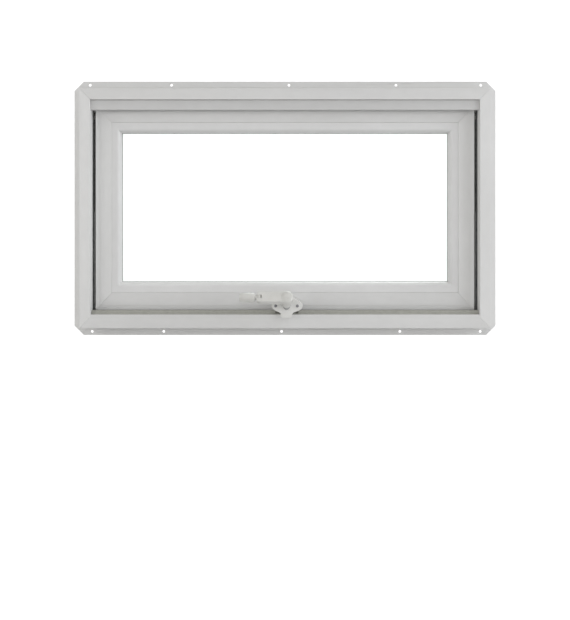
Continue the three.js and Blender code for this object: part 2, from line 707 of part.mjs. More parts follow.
// the track is open over the arc that the stud's neck sweeps as the sash tilts
const trackOuter = arc(STAY_Y, STAY_Z, BALL_TRACK_OUTER_R, -55, 0, 6);
const trackOuterLow = arc(STAY_Y, STAY_Z, BALL_TRACK_OUTER_R, 180, 195, 2);
const trackInner = arc(STAY_Y, STAY_Z, BALL_TRACK_R, 195, -55, 18);
const trackTop = SASH_BOTTOM - GAP;
add('sash_track', alongX(polygon([
  ...trackOuter,
  [STAY_Y + BALL_TRACK_OUTER_R, trackTop],
  [STAY_Y - BALL_TRACK_OUTER_R, trackTop],
  ...trackOuterLow,
  ...trackInner,
]), ...BALL_TRACK_X), 'steel');

// base plate in the sill's channel, with the gear's post, a riser and the shaft's barrel
const PLATE_Z = [SILL_FLOOR + GAP, SILL_FLOOR + GAP + BASE_THICKNESS];
const COVER_EAR = [-34.8, -31.8];
const screwX = [CRANK_X - COVER_SCREW_SPAN / 2, CRANK_X + COVER_SCREW_SPAN / 2];
const post = turned([
  [0, 8],
  [7, 8],
  [7, 13.7],
  [POST_R, 13.7],
  [POST_R, 23],
  [POST_R - 0.6, 23.6],
  [0, 23.6],
]);
const plateShape = rectangle(BASE_X[0], BASE_Y[0], BASE_X[1], BASE_Y[1]);
const riserShape = rectangle(CRANK_X - RISER_HALF, BASE_Y[0], CRANK_X + RISER_HALF, BASE_Y[0] + RISER_DEPTH);
const wormRoom = toCrank(alongZ(circle(0, 0, 6.4, 24), -14, 24));
const shaftRoom = toCrank(alongZ(circle(0, 0, SHAFT_R + 0.4, 20), 10, 70));
const base = join(
  cut(alongZ(plateShape, ...PLATE_Z), wormRoom),
  post.translate(PIVOT_X, STAY_Y, 0),
  alongZ(riserShape, PLATE_Z[0] + 0.5, RISER_TOP),
  toCrank(alongZ(circle(0, 0, BARREL_R, 24), ...BARREL)),
  alongY(rectangle(screwX[0] - 4.2, 41.5, screwX[1] + 4.2, 48.5), ...COVER_EAR),
);
const earHoles = screwX.map((x) => alongY(circle(x, COVER_SCREW_Z, 1.95, 12), -36, -30));
add('operator_base', cut(base, shaftRoom, ...earHoles), 'zinc');

const clipRing = polygon(arc(PIVOT_X, STAY_Y, 7, 0, 300, 5), [circle(PIVOT_X, STAY_Y, POST_BORE_R, 16)]);
add('arm_retaining_nut', alongZ(clipRing, 21.6, 23.2), 'steel');

// ---------------------------------------------------------------- operator cover

// replaces each corner of an outline with an arc-like curve
function rounded(points, radius, steps = 5) {
  const corners = points.map(([a, b]) => new THREE.Vector2(a, b));
  return corners.flatMap((corner, i) => {
    const back = corners[(i + corners.length - 1) % corners.length].clone().sub(corner);
    const ahead = corners[(i + 1) % corners.length].clone().sub(corner);
    const start = back.clone().setLength(Math.min(radius, back.length() / 2.1)).add(corner);
    const end = ahead.clone().setLength(Math.min(radius, ahead.length() / 2.1)).add(corner);
    const curve = new THREE.QuadraticBezierCurve(start, corner, end);
    return curve.getPoints(steps).map((p) => [p.x, p.y]);
  });
}

// moves every side of an anticlockwise outline inwards
function inset(points, distance) {
  return points.map(([a, b], i) => {
    const [a0, b0] = points[(i + points.length - 1) % points.length];
    const [a1, b1] = points[(i + 1) % points.length];
    const before = new THREE.Vector2(b0 - b, a - a0).normalize();
    const after = new THREE.Vector2(b - b1, a1 - a).normalize();
    const half = before.clone().add(after).normalize();
    const reach = distance / half.dot(before);
    return [a + half.x * reach, b + half.y * reach];
  });
}

const coverOutline = [
  [-11, 21.5], [11, 21.5], [11, 31], [26, 36], [32, 42], [32, 49], [21, 56], [12, 60.5],
  [-10, 60.5], [-20, 57.5], [-29.5, 50], [-29.5, 42], [-24, 36], [-11, 31],
].map(([dx, z]) => [CRANK_X + dx, z]);
const outerCover = alongY(polygon(rounded(coverOutline, 5)), COVER_FRONT, COVER_BACK);
const innerCover = alongY(
  polygon(rounded(inset(coverOutline, COVER_WALL), 4)),
  COVER_FRONT + COVER_WALL,
  SASH_ROOM,
);
const lipRoom = alongY(rectangle(CRANK_X - 40, 0, CRANK_X + 40, SILL_FACE + GAP), ROOM_FACE - GAP, 0);
const barrelRoom = toCrank(alongZ(circle(0, 0, BARREL_R + 0.2, 24), 40, 72));
const coverHoles = screwX.map((x) => alongY(circle(x, COVER_SCREW_Z, 2, 12), COVER_FRONT - 1, -38));
add('operator_cover', cut(outerCover, innerCover, lipRoom, barrelRoom, ...coverHoles), 'enamel');

const screw = turned([
  [0, 32.4], [1.2, 32.4], [1.6, 33.4], [1.6, 43.2], [2.9, 43.2], [2.9, 43.9], [1.9, 44.9], [0, 45.2],
], 16).rotateX(Math.PI / 2);
const slots = [[0.4, 1.7], [1.7, 0.4]].map(([a, b]) => alongY(rectangle(-a, -b, a, b), -46, -44.2));
const crossScrew = cut(screw, ...slots);
screwX.forEach((x, i) => {
  add(`cover_screw_${['left', 'right'][i]}`, crossScrew.clone().translate(x, 0, COVER_SCREW_Z), 'screw');
});

// ---------------------------------------------------------------- crank handle

const handleMiddle = (HANDLE[0] + HANDLE[1]) / 2;
const boreR = SHAFT_R + 0.35;
const across = (x, radius, reach) => alongY(circle(x, handleMiddle, radius, 16), -reach, reach);

const hub = turned([
  [0, HUB_BACK],
  [8.5, HUB_BACK],
  [9.5, HUB_BACK + 1],
  [10.4, 73],
  [HUB_R, 79],
  [HUB_R, HANDLE[1] - 3],
  [HUB_R - 0.9, HANDLE[1] - 1.2],
  [HUB_R - 3, HANDLE[1] + 0.4],
  [6, HANDLE[1] + 1.4],
  [0, HANDLE[1] + HUB_CROWN],
], 32);
const armShape = polygon(rounded([
  [-HANDLE_END, -HANDLE_HALF],
  [0, -HANDLE_HALF - 0.5],
  [2, 0],
  [0, HANDLE_HALF + 0.5],
  [-HANDLE_END, HANDLE_HALF],
], 4));
const fork = alongZ(
  rectangle(-HANDLE_END - 1, -FORK_HALF, -HANDLE_END + FORK_DEPTH, FORK_HALF),
  HANDLE[0] - 1,
  HANDLE[1] + 1,
);
const setScrewHole = alongX(circle(0, 70, 2.3, 12), 2, 16);
add('crank_handle', cut(
  join(hub, alongZ(armShape, ...HANDLE)),
  alongZ(circle(0, 0, boreR, 20), HUB_BACK - 2, HANDLE[1] - 2.6),
  setScrewHole,
  fork,
  across(-KNOB_PIVOT, KNOB_PIN_R + 0.3, HANDLE_HALF + 3),
), 'enamel', crank);
add('handle_set_screw', alongX(circle(0, 70, 2, 10), SHAFT_R + 0.3, 9.4), 'screw', crank);
add('knob_pin', across(-KNOB_PIVOT, KNOB_PIN_R, HANDLE_HALF - 0.8), 'steel', crank);

// the ear sits in the fork, and its stem runs through the grip to a head in the grip's end
const earHalf = FORK_HALF - 0.4;
const neckEnd = -KNOB_FROM + 0.5;
const stem = join(
  across(-KNOB_PIVOT, KNOB_EAR_R, earHalf),
  alongX(rectangle(-earHalf, handleMiddle - 3.2, earHalf, handleMiddle + 3.2), neckEnd, -KNOB_PIVOT),
  turnedX([
    [0, -KNOB_TO + 0.4],
    [4.2, -KNOB_TO + 0.4],
    [4.2, -KNOB_TO + 1.8],
    [KNOB_STEM_R, -KNOB_TO + 1.8],
    [KNOB_STEM_R, -KNOB_PIVOT],
    [0, -KNOB_PIVOT],
  ], 0, handleMiddle),
);
add('knob_stem', cut(stem, across(-KNOB_PIVOT, KNOB_PIN_R + 0.3, HANDLE_HALF)), 'enamel', crank);
add('knob_grip', turnedX([
  [GRIP_BORE, -KNOB_FROM],
  [6.8, -KNOB_FROM],
  [7.8, -KNOB_FROM - 0.8],
  [9.2, -KNOB_FROM - 5],
  [GRIP_R, -KNOB_FROM - 11],
  [GRIP_R, -KNOB_TO + 12],
  [9.1, -KNOB_TO + 6],
  [8.2, -KNOB_TO + 2.4],
  [6.6, -KNOB_TO],
  [5, -KNOB_TO],
  [5, -KNOB_TO + 2.4],
  [GRIP_BORE, -KNOB_TO + 2.4],
  [GRIP_BORE, -KNOB_FROM],
], 0, handleMiddle, 28), 'enamel', crank);

export default window3d;
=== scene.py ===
import json
import math

import bpy
from mathutils import Matrix, Vector


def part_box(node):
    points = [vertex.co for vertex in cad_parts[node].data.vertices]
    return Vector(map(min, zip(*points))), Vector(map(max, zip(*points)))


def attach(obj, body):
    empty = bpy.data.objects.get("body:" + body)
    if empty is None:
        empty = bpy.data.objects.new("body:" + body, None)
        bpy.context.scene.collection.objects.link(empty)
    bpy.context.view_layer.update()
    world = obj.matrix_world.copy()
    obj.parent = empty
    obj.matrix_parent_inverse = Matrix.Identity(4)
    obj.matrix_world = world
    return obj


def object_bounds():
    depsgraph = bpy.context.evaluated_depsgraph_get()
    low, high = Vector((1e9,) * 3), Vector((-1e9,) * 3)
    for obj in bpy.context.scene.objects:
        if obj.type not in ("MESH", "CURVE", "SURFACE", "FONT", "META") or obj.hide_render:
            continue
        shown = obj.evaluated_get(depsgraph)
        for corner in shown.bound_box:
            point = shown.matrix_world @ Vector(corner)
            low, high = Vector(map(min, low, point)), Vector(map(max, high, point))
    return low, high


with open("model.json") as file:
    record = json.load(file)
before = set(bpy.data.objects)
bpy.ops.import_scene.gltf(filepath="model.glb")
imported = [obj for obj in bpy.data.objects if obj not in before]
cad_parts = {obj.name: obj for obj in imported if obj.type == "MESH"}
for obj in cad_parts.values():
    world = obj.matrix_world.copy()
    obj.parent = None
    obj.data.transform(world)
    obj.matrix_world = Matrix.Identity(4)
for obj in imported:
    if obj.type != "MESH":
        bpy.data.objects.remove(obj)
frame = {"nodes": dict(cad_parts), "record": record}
cad_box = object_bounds()

MM = 0.001
scene = bpy.context.scene
scene.view_settings.view_transform = "Standard"


# ------------------------------------------------------------------------------- materials


class Finish:
    """A procedural material under construction, in the coordinates of the piece that wears it."""

    def __init__(self, name, **constants):
        self.material = bpy.data.materials.new(name)
        self.material.use_nodes = True
        self.tree = self.material.node_tree
        self.shader = self.tree.nodes["Principled BSDF"]
        self.height = None
        self.place = self.node("ShaderNodeTexCoord").outputs["Object"]
        for socket, value in constants.items():
            self.shader.inputs[socket.replace("_", " ")].default_value = value

    def node(self, kind, inputs=None, **settings):
        made = self.tree.nodes.new(kind)
        for key, value in settings.items():
            setattr(made, key, value)
        for key, value in (inputs or {}).items():
            if isinstance(value, bpy.types.NodeSocket):
                self.tree.links.new(value, made.inputs[key])
            else:
                made.inputs[key].default_value = value
        return made

    def noise(self, scale, detail=3.0, stretch=(1, 1, 1), distortion=0.0):
        """Noise with scale features a metre, drawn out along an axis whose stretch is below 1."""
        place = self.node("ShaderNodeMapping", {"Vector": self.place, "Scale": stretch})
        made = self.node("ShaderNodeTexNoise", {
            "Vector": place.outputs[0], "Scale": scale, "Detail": detail, "Distortion": distortion})
        return made.outputs[0]

    def ramp(self, factor, stops):
        made = self.node("ShaderNodeValToRGB", {"Fac": factor})
        elements = made.color_ramp.elements
        while len(elements) < len(stops):
            elements.new(0.5)
        for element, (position, colour) in zip(elements, stops):
            element.position = position
            element.color = (*colour, 1)
        return made.outputs[0]

    def span(self, factor, low, high, start=0.3, end=0.7):
        return self.node("ShaderNodeMapRange", {
            "Value": factor, "From Min": start, "From Max": end,
            "To Min": low, "To Max": high}).outputs[0]

    def maths(self, operation, a, b=0.0):
        return self.node("ShaderNodeMath", {0: a, 1: b}, operation=operation).outputs[0]

    def blend(self, factor, a, b):
        made = self.node("ShaderNodeMix", {0: factor}, data_type="RGBA")
        for key, value in ((6, a), (7, b)):
            if isinstance(value, bpy.types.NodeSocket):
                self.tree.links.new(value, made.inputs[key])
            else:
                made.inputs[key].default_value = (*value, 1)
        return made.outputs[2]

    def bump(self, height, depth, strength=1.0):
        """Adds relief of that depth in metres on top of the relief so far."""
        inputs = {"Height": height, "Distance": depth, "Strength": strength}
        if self.height:
            inputs["Normal"] = self.height
        self.height = self.node("ShaderNodeBump", inputs).outputs[0]

    def mix(self, factor, first, second):
        return self.node("ShaderNodeMixShader", {
            0: factor, 1: first.outputs[0], 2: second.outputs[0]})

    def surface(self, shader):
        output = self.tree.nodes["Material Output"]
        self.tree.links.new(shader.outputs[0], output.inputs["Surface"])

    def done(self, **links):
        for socket, value in links.items():
            self.tree.links.new(value, self.shader.inputs[socket.replace("_", " ")])
        if self.height:
            self.tree.links.new(self.height, self.shader.inputs["Normal"])
        return self.material


def along(axis, amount, rest=1.0):
    return tuple(amount if a == axis else rest for a in "xyz")


def vinyl(name, axis, low, high, rough):
    """White extruded vinyl with faint die lines along its length and a soft mottle."""
    f = Finish(name, IOR=1.52, Specular_IOR_Level=0.45)
    mottle = f.noise(14, detail=5, stretch=along(axis, 0.35))
    cloud = f.noise(90, detail=4, stretch=along(axis, 0.5))
    tone = f.maths("ADD", f.maths("MULTIPLY", mottle, 0.65), f.maths("MULTIPLY", cloud, 0.35))
    lines = f.noise(900, detail=2, stretch=along(axis, 0.004))
    peel = f.noise(1700, detail=2)
    f.bump(lines, 0.00002, 0.55)
    f.bump(peel, 0.00003, 0.35)
    return f.done(
        Base_Color=f.ramp(tone, [(0.36, low), (0.64, high)]),
        Roughness=f.span(lines, rough - 0.05, rough + 0.06),
    )


def painted(name, low, high, rough):
    """Powder-coated die casting: fine orange peel and a slightly uneven coat."""
    f = Finish(name, IOR=1.5, Coat_Weight=0.4, Coat_Roughness=0.2)
    cloud = f.noise(60, detail=4)
    peel = f.noise(1300, detail=3)
    f.bump(peel, 0.00006, 0.45)
    f.bump(f.noise(260, detail=2), 0.00008, 0.25)
    return f.done(
        Base_Color=f.ramp(cloud, [(0.35, low), (0.65, high)]),
        Roughness=f.span(peel, rough - 0.06, rough + 0.07),
    )


def metal(name, axis, low, high, rough, scratch=0.5):
    """Rolled or plated steel, brushed along an axis, with scattered dull spots."""
    f = Finish(name, Metallic=1.0)
    grain = f.noise(2600, detail=3, stretch=along(axis, 0.02))
    spots = f.noise(220, detail=6, distortion=0.4)
    f.bump(grain, 0.00003, scratch)
    tone = f.maths("MULTIPLY", f.maths("ADD", grain, spots), 0.5)
    return f.done(
        Base_Color=f.ramp(tone, [(0.38, low), (0.62, high)]),
        Roughness=f.span(spots, rough - 0.08, rough + 0.14),
    )


def casting(name, low, high, rough):
    """Bare die-cast zinc with the mould's pitted skin."""
    f = Finish(name, Metallic=0.85)
    skin = f.noise(1100, detail=5)
    stain = f.noise(70, detail=4, distortion=0.6)
    f.bump(skin, 0.00012, 0.5)
    return f.done(
        Base_Color=f.ramp(stain, [(0.3, low), (0.7, high)]),
        Roughness=f.span(skin, rough - 0.1, rough + 0.12),
    )


def soft(name, low, high, rough, depth=0.00008):
    """Rubber, butyl or nylon: matt, finely grained, a little dusty."""
    f = Finish(name, IOR=1.5, Specular_IOR_Level=0.35)
    dust = f.noise(120, detail=6, distortion=0.3)
    grain = f.noise(2200, detail=2)
    f.bump(grain, depth, 0.5)
    return f.done(
        Base_Color=f.ramp(dust, [(0.32, low), (0.72, high)]),
        Roughness=f.span(dust, rough - 0.08, rough + 0.06),
    )


def spacer_bar(name):
    """Rolled aluminium with rows of breathing holes, 400 a metre, towards the cavity; the holes are
    dented and painted near black as painted shade.
    """
    f = Finish(name, Metallic=0.9)
    place = f.node("ShaderNodeMapping", {"Vector": f.place, "Scale": (400, 400, 400)})
    cells = f.node("ShaderNodeTexVoronoi", {
        "Vector": place.outputs[0], "Scale": 1.0, "Randomness": 0.0})
    hole_and_painted_shade = f.span(cells.outputs["Distance"], 1.0, 0.0, start=0.1, end=0.16)
    brushed = f.noise(1500, detail=3, stretch=(0.05, 1, 0.05))
    plain = f.ramp(brushed, [(0.3, (0.46, 0.47, 0.48)), (0.7, (0.6, 0.61, 0.62))])
    f.bump(hole_and_painted_shade, 0.0002, -0.6)
    return f.done(
        # The holes are painted near black: painted shade inside them.
        Base_Color=f.blend(hole_and_painted_shade, plain, (0.08, 0.08, 0.08)),
        Roughness=f.span(brushed, 0.3, 0.48),
    )


def clear_glass(name):
    """A float glass pane: nearly invisible, mirroring at a slant, with the faintest smears."""
    f = Finish(name)
    smear = f.noise(9, detail=6, distortion=1.2)
    tint = f.ramp(smear, [(0.3, (0.972, 0.986, 0.979)), (0.7, (0.985, 0.993, 0.989))])
    clear = f.node("ShaderNodeBsdfTransparent", {"Color": tint})
    mirror = f.node("ShaderNodeBsdfAnisotropic", {
        "Color": (1, 1, 1, 1), "Roughness": f.span(smear, 0.01, 0.05)})
    slant = f.node("ShaderNodeLayerWeight", {"Blend": 0.5}).outputs["Facing"]
    gloss = f.maths("ADD", f.maths("MULTIPLY", f.maths("POWER", slant, 5.0), 0.8), 0.02)
    f.surface(f.mix(gloss, clear, mirror))
    f.tree.nodes.remove(f.shader)
    return f.material


# Lit and shaded copies of one white vinyl: the uprights are painted lighter as painted light, the
# across members darker as painted shade.
UPRIGHT_VINYL_PAINTED_LIGHT = ((0.745, 0.743, 0.733), (0.790, 0.788, 0.779))
ACROSS_VINYL_PAINTED_SHADE = ((0.685, 0.683, 0.674), (0.730, 0.728, 0.719))
BEAD_VINYL = ((0.715, 0.713, 0.707), (0.765, 0.763, 0.757))
# A darker copy of the vinyl for the head stop: painted shade from the head lip above it.
STOP_VINYL_PAINTED_SHADE = ((0.580, 0.578, 0.572), (0.620, 0.618, 0.612))

finishes = {
    ("vinyl", "x"): vinyl("vinyl_across_painted_shade", "x", *ACROSS_VINYL_PAINTED_SHADE, 0.42),
    ("vinyl", "z"): vinyl("vinyl_upright_painted_light", "z", *UPRIGHT_VINYL_PAINTED_LIGHT, 0.42),
    ("bead", "x"): vinyl("bead_across", "x", *BEAD_VINYL, 0.38),
    ("bead", "z"): vinyl("bead_upright", "z", *BEAD_VINYL, 0.38),
    # Lit and shaded copies of one steel: the upright tracks are painted dark as painted shade in
    # the side gaps, the across parts lighter as painted light.
    ("steel", "z"): metal("steel_upright_painted_shade", "z", (0.20, 0.205, 0.20), (0.33, 0.335, 0.33), 0.4),
    ("steel", "x"): metal("steel_across_painted_light", "x", (0.42, 0.42, 0.425), (0.6, 0.6, 0.61), 0.36),
    ("zinc", None): casting("cast_zinc", (0.33, 0.335, 0.34), (0.46, 0.465, 0.47), 0.5),
    ("enamel", None): painted(
        "hardware_paint", (0.610, 0.604, 0.570), (0.660, 0.654, 0.622), 0.36),
    ("nylon", None): soft("nylon", (0.62, 0.61, 0.57), (0.7, 0.69, 0.66), 0.5),
    ("rubber", None): soft("weather_rubber", (0.018, 0.019, 0.018), (0.045, 0.047, 0.044), 0.72),
    ("sealant", None): soft(
        "butyl_sealant", (0.012, 0.012, 0.012), (0.03, 0.03, 0.031), 0.66, 0.0002),
    ("screw", None): metal("dark_screw", "y", (0.18, 0.18, 0.19), (0.30, 0.30, 0.31), 0.45, 0.3),
    ("spacer", None): spacer_bar("spacer_bar"),
    ("glass", None): clear_glass("float_glass"),
}

# A pale copy of the seal for the top and bottom seals: painted light that makes the gap under the
# sash read light grey.
seal_painted_light = soft("seal_painted_light", (0.60, 0.605, 0.57), (0.70, 0.705, 0.67), 0.6)
# The sill strips are a mid grey that stands in for the shade in the gap under the sash: painted
# shade.
strip_painted_shade = soft("strip_painted_shade", (0.37, 0.37, 0.33), (0.43, 0.43, 0.39), 0.6)
OWN_FINISHES = {
    "sash_seal_bottom": seal_painted_light,
    "sash_seal_top": seal_painted_light,
    "sill_strip_left": strip_painted_shade,
    "sill_strip_right": strip_painted_shade,
    # The head stop wears painted shade: a darker copy of the frame vinyl.
    "head_stop": vinyl("vinyl_stop_painted_shade", "x", *STOP_VINYL_PAINTED_SHADE, 0.42),
    # The cover wears a lighter copy of the hardware paint: painted light against the handle's
    # shadow on it.
    "operator_cover": painted("cover_paint_painted_light", (0.755, 0.750, 0.722), (0.800, 0.796, 0.770), 0.36),
}
UPRIGHT = ("jamb", "stile", "left", "right")  # words in the names of the upright members


def finish_of(slot, name):
    if name in OWN_FINISHES:
        return OWN_FINISHES[name]
    if (slot, None) in finishes:
        return finishes[slot, None]
    upright = any(word in name for word in UPRIGHT)
    return finishes[slot, "z" if upright else "x"]


# ------------------------------------------------------------------------- soft CAD edges

EDGES = {  # rounding of the sharp edges of each material's pieces, in mm
    "vinyl": 0.25, "bead": 0.2, "steel": 0.2, "zinc": 0.4, "enamel": 0.8, "nylon": 0.3,
    "rubber": 0.25, "sealant": 0.1, "screw": 0.15, "spacer": 0.2, "glass": 0.2,
}
OWN_EDGES = {"operator_cover": 1.3, "crank_handle": 0.9, "knob_grip": 0.5, "head_stop": 0.6}
KEEP_FACETS = ("worm_shaft", "sector_gear")
FRAME_MEMBERS = ("frame_sill", "frame_head", "frame_jamb_left", "frame_jamb_right")
FLAT_ANGLE = 0.8  # faces closer than this lie in one plane, in degrees
SHARP_ANGLE = 32  # edges sharper than this are rounded, in degrees


def soften(node, width, segments=2):
    """Rounds a CAD node's sharp edges by modifiers, which leave its own mesh alone."""
    node.data.shade_smooth()
    weld = node.modifiers.new("weld", "WELD")
    weld.merge_threshold = 0.00001
    if node.name not in FRAME_MEMBERS:  # a drilled fin doesn't dissolve cleanly
        flat = node.modifiers.new("flat", "DECIMATE")
        flat.decimate_type = "DISSOLVE"
        flat.angle_limit = math.radians(FLAT_ANGLE)
    bevel = node.modifiers.new("bevel", "BEVEL")
    bevel.width = width * MM
    bevel.segments = segments
    bevel.limit_method = "ANGLE"
    bevel.angle_limit = math.radians(SHARP_ANGLE)
    bevel.harden_normals = True
    bevel.use_clamp_overlap = True
    normals = node.modifiers.new("normals", "WEIGHTED_NORMAL")
    normals.keep_sharp = True
    normals.weight = 80


slot_of = {sub["node"]: sub["material_slot"] for sub in frame["record"]["subparts"]}
for name, node in frame["nodes"].items():
    slot = slot_of[name]
    node.data.materials.clear()
    node.data.materials.append(finish_of(slot, name))
    if name not in KEEP_FACETS:
        soften(node, OWN_EDGES.get(name, EDGES[slot]), 3 if slot == "enamel" else 2)


# ------------------------------------------------------------------ pieces beyond the CAD


def mesh_of(name, vertices, faces):
    mesh = bpy.data.meshes.new(name)
    mesh.from_pydata([Vector(v) * MM for v in vertices], [], faces)
    mesh.update()
    return mesh


def piece(name, mesh, finish, body, place=None):
    """A piece that rides on a CAD body; place is its matrix, unless the mesh is in place."""
    made = bpy.data.objects.new(name, mesh)
    if not mesh.materials:
        mesh.materials.append(finish)
    if place:
        made.matrix_world = place
    scene.collection.objects.link(made)
    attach(made, body)
    return made


def lathe(name, profile, segments=24):
    """A solid turned about Z from [radius, height] pairs, which start and end on the axis."""
    inner = profile[1:-1]
    vertices = [(0, 0, profile[0][1])]
    for k in range(segments):
        turn = 2 * math.pi * k / segments
        vertices += [(r * math.cos(turn), r * math.sin(turn), h) for r, h in inner]
    vertices.append((0, 0, profile[-1][1]))
    last, count = len(vertices) - 1, len(inner)
    faces = []
    for k in range(segments):
        here, ahead = 1 + k * count, 1 + (k + 1) % segments * count
        faces.append((0, ahead, here))
        faces += [(here + i, ahead + i, ahead + i + 1, here + i + 1)
                  for i in range(count - 1)]
        faces.append((here + count - 1, ahead + count - 1, last))
    return mesh_of(name, vertices, faces)


def prism(name, near, far):
    """A solid between two outlines, both anticlockwise seen from the far one's side."""
    n = len(near)
    sides = [(i, (i + 1) % n, n + (i + 1) % n, n + i) for i in range(n)]
    ends = [tuple(reversed(range(n))), tuple(range(n, 2 * n))]
    return mesh_of(name, [*near, *far], [*ends, *sides])


def extrusion(name, outline, x0, x1):
    """A bar along X whose section is drawn in (y, z), anticlockwise seen from +X."""
    return prism(name, *([(x, y, z) for y, z in outline] for x in (x0, x1)))


def surround(name, left, low, right, high, section):
    """A mitred rectangular ring in the XZ plane; section is (outward, y) points about its sides."""
    n = len(section)
    vertices = []
    for sx, sz in ((-1, -1), (1, -1), (1, 1), (-1, 1)):
        x, z = (left if sx < 0 else right), (low if sz < 0 else high)
        vertices += [(x + sx * out, y, z + sz * out) for out, y in section]
    faces = []
    for k in range(4):
        here, ahead = k * n, (k + 1) % 4 * n
        faces += [(here + i, ahead + i, ahead + (i + 1) % n, here + (i + 1) % n)
                  for i in range(n)]
    return mesh_of(name, vertices, faces)


def carved(mesh, *cutters):
    """The mesh less the cutters, worked out once."""
    body = bpy.data.objects.new("body", mesh)
    scene.collection.objects.link(body)
    tools = []
    for cutter in cutters:
        tool = bpy.data.objects.new("tool", cutter)
        scene.collection.objects.link(tool)
        tools.append(tool)
        boolean = body.modifiers.new("cut", "BOOLEAN")
        boolean.operation = "DIFFERENCE"
        boolean.solver = "EXACT"
        boolean.object = tool
    cut_body = body.evaluated_get(bpy.context.evaluated_depsgraph_get())
    result = bpy.data.meshes.new_from_object(cut_body)
    for spare in (body, *tools):
        bpy.data.objects.remove(spare)
    return result


def smooth_by_angle(made, degrees=35):
    made.data.shade_smooth()
    made.data.set_sharp_from_angle(angle=math.radians(degrees))


def box_mm(node):
    return [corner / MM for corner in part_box(node)]


# pan-head cross screws, all scaled from one head
PAN_R = 5
PAN_HEIGHT = 3
CROSS_HALF = 0.55  # half the width of the cross's slots
CROSS_REACH = 2.6
CROSS_ENDS = ((1.2, 0.75), (3.5, 1.0))  # height of the cross's floor and top, and size there
pan_head = lathe("pan_head", [
    (0, 0), (4.7, 0), (PAN_R, 0.35), (4.9, 1.1), (4.3, 2.0), (3.2, 2.65), (1.7, 2.95),
    (0, PAN_HEIGHT)])
quarter = [(-CROSS_HALF, -CROSS_REACH), (CROSS_HALF, -CROSS_REACH), (CROSS_HALF, -CROSS_HALF)]
cross = []
for _ in range(4):
    cross += quarter
    quarter = [(-y, x) for x, y in quarter]
cross_cut = prism("cross_cut", *(
    [(x * size, y * size, z) for x, y in cross] for z, size in CROSS_ENDS))
pan_head = carved(pan_head, cross_cut)
screw_steel = metal("screw_steel", "z", (0.36, 0.36, 0.37), (0.52, 0.52, 0.53), 0.38, 0.3)


def pan_screw(name, at, facing, radius, height, body, turn):
    aim = Vector(facing).to_track_quat("Z", "Y").to_matrix().to_4x4()
    size = Matrix.Diagonal((radius / PAN_R, radius / PAN_R, height / PAN_HEIGHT, 1))
    spin = Matrix.Rotation(math.radians(turn), 4, "Z")
    place = Matrix.Translation(Vector(at) * MM) @ aim @ spin @ size
    smooth_by_angle(piece(name, pan_head, screw_steel, body, place))


TRACK_SCREW = (3.2, 1.2)  # radius and height of the head, as for the other screws
BRACKET_SCREW = (3.0, 1.0)
BASE_SCREW = (3.4, 1.9)

STAY_Y = 2
TRACK_WEB_X = 389  # the hinge tracks' webs stand this far from the middle
TRACK_SCREW_Z = (45, 130, 260, 310)
BRACKET_X = 382.3
BRACKET_SCREW_Z = (262, 310, 358, 404)
for side, sign in (("left", -1), ("right", 1)):
    for i, z in enumerate(TRACK_SCREW_Z):
        pan_screw(f"track_screw_{side}_{i}", (sign * TRACK_WEB_X, STAY_Y, z), (-sign, 0, 0),
                  *TRACK_SCREW, "frame", 20 + 37 * i)
    for i, z in enumerate(BRACKET_SCREW_Z):
        pan_screw(f"bracket_screw_{side}_{i}", (sign * BRACKET_X, STAY_Y, z), (sign, 0, 0),
                  *BRACKET_SCREW, "sash", 11 + 53 * i)

BASE_TOP = 9.3
BASE_SCREWS = ((-17, -18), (52, -18), (52, 15), (-17, 15))
for i, (x, y) in enumerate(BASE_SCREWS):
    pan_screw(f"base_screw_{i}", (x, y, BASE_TOP), (0, 0, 1), *BASE_SCREW, "frame", 15 + 40 * i)

# half-round ribs on both faces of the nailing fin
FRAME_BOX = (-407, 0, 407, 474)  # the frame without its fin: left, low, right, high
FIN_FACES = (("room", 3, -1), ("out", 4.5, 1))
RIB_OFFSETS = (4, 9)  # out from the frame
RIB_HALF = 0.45
RIB_RISE = 0.4
for i, offset in enumerate(RIB_OFFSETS):
    for side, face, sign in FIN_FACES:
        turns = [math.radians(a) for a in (0, 45, 90, 135, 180)][::sign]
        half_round = [(offset + RIB_HALF * math.cos(t), face + RIB_RISE * sign * math.sin(t))
                      for t in turns]
        name = f"fin_rib_{side}_{i}"
        rib = surround(name, *FRAME_BOX, half_round)
        smooth_by_angle(piece(name, rib, finishes["vinyl", "x"], "frame"))

# gasket lip where the glass meets the beads, seen from the room; its grey is partly the lip's own
# colour and partly painted shade along the glass edge
gasket_and_painted_shade = soft("gasket_and_painted_shade", (0.30, 0.30, 0.29), (0.38, 0.38, 0.37), 0.6)
GASKET = [(0.3, -0.15), (0.3, -1.5), (-0.35, -1.2), (-0.75, -0.55), (-0.85, -0.15)]
opening = (box_mm("bead_left")[1].x, box_mm("bead_bottom")[1].z,
           box_mm("bead_right")[0].x, box_mm("bead_top")[0].z)
room_gasket = surround("glass_gasket_room", *opening, GASKET)
smooth_by_angle(piece("glass_gasket_room", room_gasket, gasket_and_painted_shade, "sash"))

# foam that closes the corners between the sill strips and the operator cover, dark grey as painted
# shade beside the cover
foam_painted_shade = soft("foam_painted_shade", (0.19, 0.19, 0.17), (0.28, 0.28, 0.255), 0.8, 0.0002)
FOAM_EDGE = [(-22, 12), (-9.4, 12), (-9.4, 27.8), (-13.5, 30.2), (-17.5, 33.2), (-22, 34.2)]
FOAM_Y = (-25, -23)
CRANK_X = 3  # the cover is the same on both sides of it
for side, sign in (("left", 1), ("right", -1)):
    outline = [(CRANK_X + sign * (x - CRANK_X), z) for x, z in FOAM_EDGE][::-sign]
    name = f"cover_foam_{side}"
    foam = prism(name, *([(x, y, z) for x, z in outline] for y in FOAM_Y))
    piece(name, foam, foam_painted_shade, "frame")

